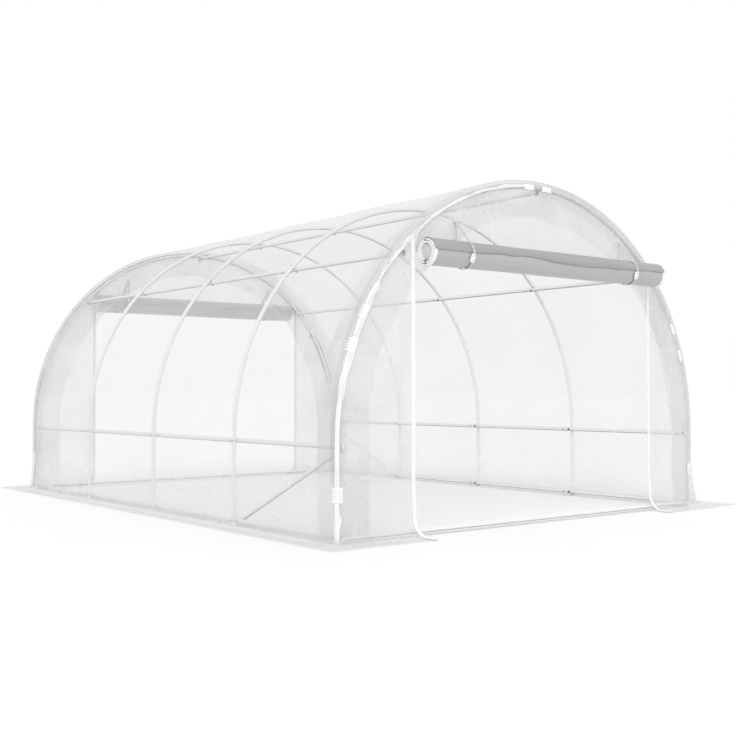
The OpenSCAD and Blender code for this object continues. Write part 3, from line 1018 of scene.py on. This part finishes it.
CLIP_L = 0.08
CLIP_BORE, CLIP_WALL, CLIP_LIP = 0.0163, 0.0034, 0.018
RIB = 0.0022
RIBS = 5.5
CLIP_PLACES = [0.248] + [LEG_H + math.radians(a) * ARCH_R for a in (20, 27.5)]
CLIP_PLACES.append(LEG_H + ARCH_R * math.pi / 2 - 0.075)


def quarter(radius, start, stop):
    """The inner points of a quarter round, from one angle to another."""
    turns = np.linspace(start, stop, 8)[1:-1]
    return [(radius * math.cos(b), radius * math.sin(b)) for b in turns]


def build_clips(end):
    """Ribbed plastic channels pressed over the film and the hoop."""
    parts = Parts()
    outward = np.array([0.0, end, 0.0])
    bore = [(CLIP_BORE, -CLIP_LIP), (CLIP_BORE, 0), *quarter(CLIP_BORE, 0, math.pi / 2)]
    bore += [(0, CLIP_BORE), (-CLIP_LIP, CLIP_BORE)]
    for side in (-1, 1):
        for s in CLIP_PLACES:
            sections = []
            for t in np.linspace(-0.5, 0.5, 41):
                rib = RIB * (1 if math.cos(2 * math.pi * RIBS * t) > 0.1 else 0)
                out = CLIP_BORE + CLIP_WALL + rib - 0.0012 * smooth(abs(t), 0.46, 0.5)
                point, normal = hoop_place(side, s + t * CLIP_L)
                point[1] = END_Y[end]
                curve = bore + [(-CLIP_LIP, out), (0, out), *quarter(out, math.pi / 2, 0)]
                curve += [(out, 0), (out, -CLIP_LIP)]
                sections.append([point + normal * n + outward * f for n, f in curve])
            parts.sweep(sections)
    parts.build(f"{END_NAME[end]}_clips", CLIP, "clip_plastic", [f"film_clips_{END_NAME[end]}"])


for end in (-1, 1):
    build_clips(end)

# ---------------------------- feet, bolts and plugs

# Outlines of turned pieces: (radius, distance along the axis)
FOOT = [(0.0165, 0.0), (0.0172, 0.0015), (0.0172, 0.004), (0.0150, 0.006)]
FOOT += [(0.0148, FOOT_H + 0.006), (0.0140, FOOT_H + 0.0075), (0.0126, FOOT_H + 0.008)]
HEAD = [(0.0062, -0.0006), (0.0062, 0.0002), (0.005, 0.0012), (0.002, 0.0018)]
WASHER = [(0.0085, 0.0008), (0.0085, -0.0012)]
NUT = [(0.0064, -0.001), (0.0064, -0.0055), (0.0052, -0.0062)]
BOLT_END = [(0.003, -0.005), (0.003, -0.0105), (0.0022, -0.0115)]
SCREW = [(0.0055, 0.001), (0.0055, -0.001), (0.0045, -0.0022), (0.002, -0.003)]
END_PLUG = [(TUBE_R + 0.0004, -0.003), (TUBE_R + 0.0004, -0.0002), (TUBE_R - 0.0012, 0.0008)]
END_PLUG += [(TUBE_R - 0.003, 0.0006), (0.004, 0.0012)]
SCREW_ALONG = 0.055  # from a hoop to the screw that joins two lengths of purlin

feet = Parts()
for y in HOOP_Y:
    for side in (-1, 1):
        feet.lathe(FOOT, (MID_X + side * ARCH_R, y, 0.0), (0, 0, 1), 32)
feet.build("leg_feet", PLASTIC, "plastic_feet", ["hoop_feet"])

bolts = Parts()
shoulder = math.asin((SHOULDER[2] - LEG_H) / INNER_R)
for y in HOOP_Y:
    places = [(0, RIDGE[2], 0, 1)]
    for side in (-1, 1):
        nx, nz = side * math.cos(shoulder), math.sin(shoulder)
        places.append((INNER_R * nx, LEG_H + INNER_R * nz, nx, nz))
        places += [(side * INNER_R, z, side, 0) for z in (SIDE_Z, BASE_Z)]
    for x, z, nx, nz in places:
        normal = np.array([nx, 0.0, nz])
        centre = np.array([MID_X + x, y, z])
        bolts.lathe(HEAD, centre + normal * (ARCH_R - INNER_R + TUBE_R), normal, 16)
        inner = centre - normal * TUBE_R
        for outline, sides in ((WASHER, 20), (NUT, 6), (BOLT_END, 12)):
            bolts.lathe(outline, inner, normal, sides)
        along = SCREW_ALONG if y < REAR_Y - 0.01 else -SCREW_ALONG
        bolts.lathe(SCREW, inner + [0, along, 0], normal, 14)
bolts.build("frame_bolts", STEEL, "frame_tube")

plugs, low_plugs = Parts(), Parts()
pairs = ((SHOULDER[0] - MID_X, SHOULDER[2]), (INNER_R, SIDE_Z), (INNER_R, BASE_Z))
for end, corner in zip((-1, 1), box("ridge_purlin")):
    for x, z in [(0, RIDGE[2])] + [(side * r, h) for side in (-1, 1) for r, h in pairs]:
        chosen = plugs if z > LEG_H + 0.3 else low_plugs
        chosen.lathe(END_PLUG, (MID_X + x, corner[1], z), (0, end, 0), 28)
plugs.build("tube_plugs", PLUG, "frame_tube")
low_plugs.build("rail_plugs", CLIP, "frame_tube")

# ---------------------------- the frame's own material

for name, obj in NODES.items():
    obj.data.materials.clear()
    obj.data.materials.append(TUBE)
    sharpen(obj, 40)

# ---------------------------- floor, light and camera


FLOOR_GREYS = (0.945, 0.955)
FLOOR_RADIUS = 300
BACKDROP = 1.0  # what the camera sees behind the object
AMBIENT = 0.76  # what lights it from all around


def floor_material():
    m = Nodes("pale_floor")
    color = m.mix(m.remap(m.noise(1.1, 3.0), 0.3, 0.7), *map(grey, FLOOR_GREYS))
    grain = m.bump(m.noise(40.0, 2.0), 0.0002, 0.3)
    return m.finish(m.shader(color, 0.85, grain, Specular_IOR_Level=0.1))


bpy.ops.mesh.primitive_circle_add(
    vertices=96, radius=FLOOR_RADIUS, fill_type="NGON", location=(0, 0, 0)
)
floor = bpy.context.object
floor.name = "floor"
floor.data.materials.append(floor_material())

world = bpy.data.worlds.new("studio")
bpy.context.scene.world = world
world.use_nodes = True
tree = world.node_tree
tree.nodes.clear()
output = tree.nodes.new("ShaderNodeOutputWorld")
mixer = tree.nodes.new("ShaderNodeMixShader")
path = tree.nodes.new("ShaderNodeLightPath")
tree.links.new(path.outputs["Is Camera Ray"], mixer.inputs[0])
for socket, value in ((1, AMBIENT), (2, BACKDROP)):
    light = tree.nodes.new("ShaderNodeBackground")
    light.inputs["Color"].default_value = grey(value)
    tree.links.new(light.outputs[0], mixer.inputs[socket])
tree.links.new(mixer.outputs[0], output.inputs["Surface"])


def add_sun(name, strength, direction, degrees):
    """A soft light from a direction, as wide as the given angle."""
    data = bpy.data.lights.new(name, "SUN")
    data.energy = strength
    data.angle = math.radians(degrees)
    obj = bpy.data.objects.new(name, data)
    bpy.context.scene.collection.objects.link(obj)
    x, y, z = direction
    obj.rotation_euler = (math.atan2(math.hypot(x, y), z), 0, math.atan2(y, x) + math.pi / 2)


add_sun("key", 1.3, (-0.6, -0.75, 0.8), 60)
add_sun("fill", 0.35, (0.8, 0.3, 0.6), 90)

# The photograph's viewpoint: its place, its turns in radians and its lens in mm
CAMERA_AT = (-4.775, -6.397, 0.768)
YAW, PITCH, ROLL_ANGLE = 0.669196, 0.022577, 0.0013557
LENS, SENSOR = 52.37, 36
camera_data = bpy.data.cameras.new("camera")
camera_data.lens = LENS
camera_data.sensor_width = SENSOR
camera_data.clip_end = 1000
camera = bpy.data.objects.new("camera", camera_data)
bpy.context.scene.collection.objects.link(camera)
camera.location = CAMERA_AT
camera.rotation_mode = "XYZ"
camera.rotation_euler = (math.pi / 2 + PITCH, ROLL_ANGLE, -YAW)
bpy.context.scene.camera = camera

scene = bpy.context.scene
scene.view_settings.view_transform = "Standard"
scene.view_settings.look = "None"
scene.cycles.transparent_max_bounces = 24  # layers of film that a ray can pass
